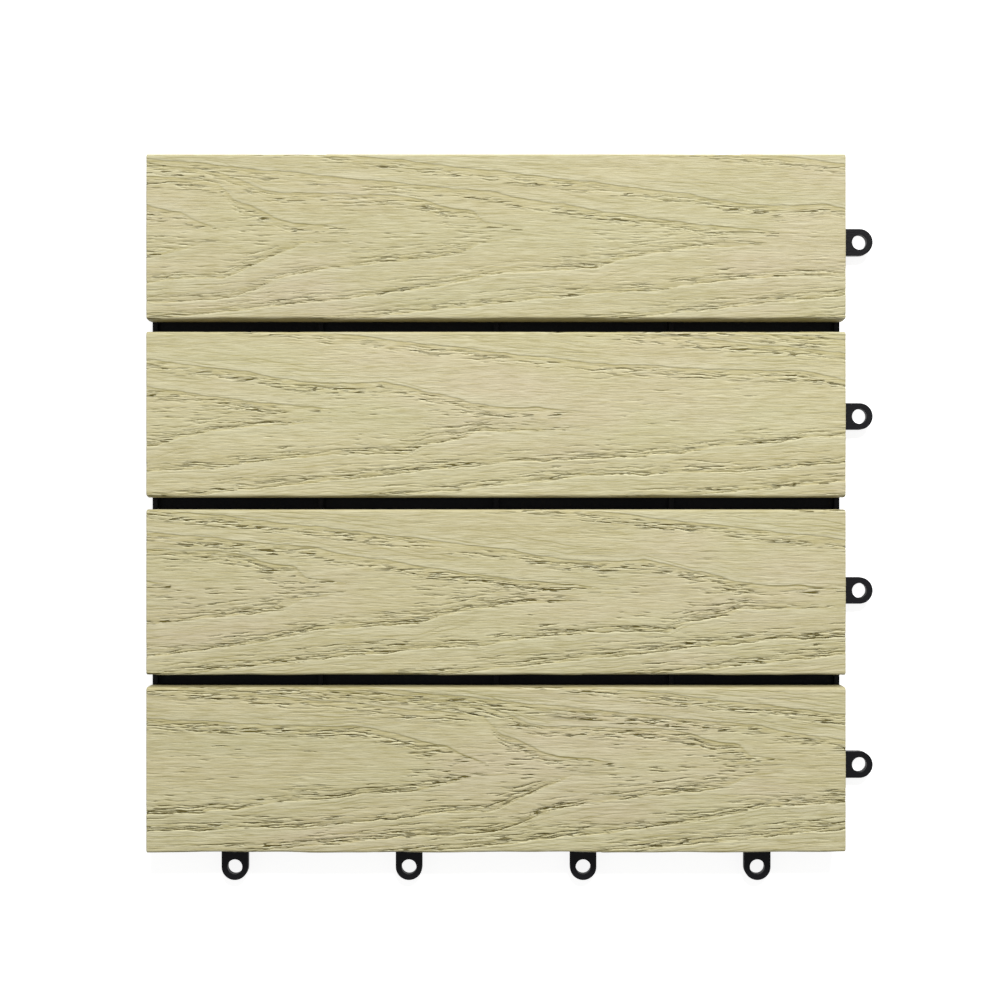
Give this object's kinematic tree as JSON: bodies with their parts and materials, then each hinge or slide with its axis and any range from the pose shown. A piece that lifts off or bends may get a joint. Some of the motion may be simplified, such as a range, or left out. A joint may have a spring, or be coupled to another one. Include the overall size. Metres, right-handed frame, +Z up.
{
  "type": "interlocking deck tile",
  "caption": "Square deck tile: parallel wood-grained composite slats on a black plastic grid with feet, and loops and pegs that lock it to the next tile.",
  "frame": {"origin": "on the floor, under the middle of the 300 mm module, at the sole of the middle foot", "axes": "+X along the slats, to the picture's right; +Y across the slats, to the picture's top; +Z up, out of the deck"},
  "size_m": [0.3097, 0.3097, 0.022],
  "materials": {
    "composite": "embossed wood-plastic composite, matt, pale olive beige",
    "black_plastic": "moulded, fine matt texture",
    "screw_steel": "stainless, plain"
  },
  "bodies": {
    "root": {"base_grid": "black_plastic", "slat_1": "composite", "slat_2": "composite", "slat_3": "composite", "slat_4": "composite", "slat_screws": "screw_steel"}
  },
  "joints": []
}
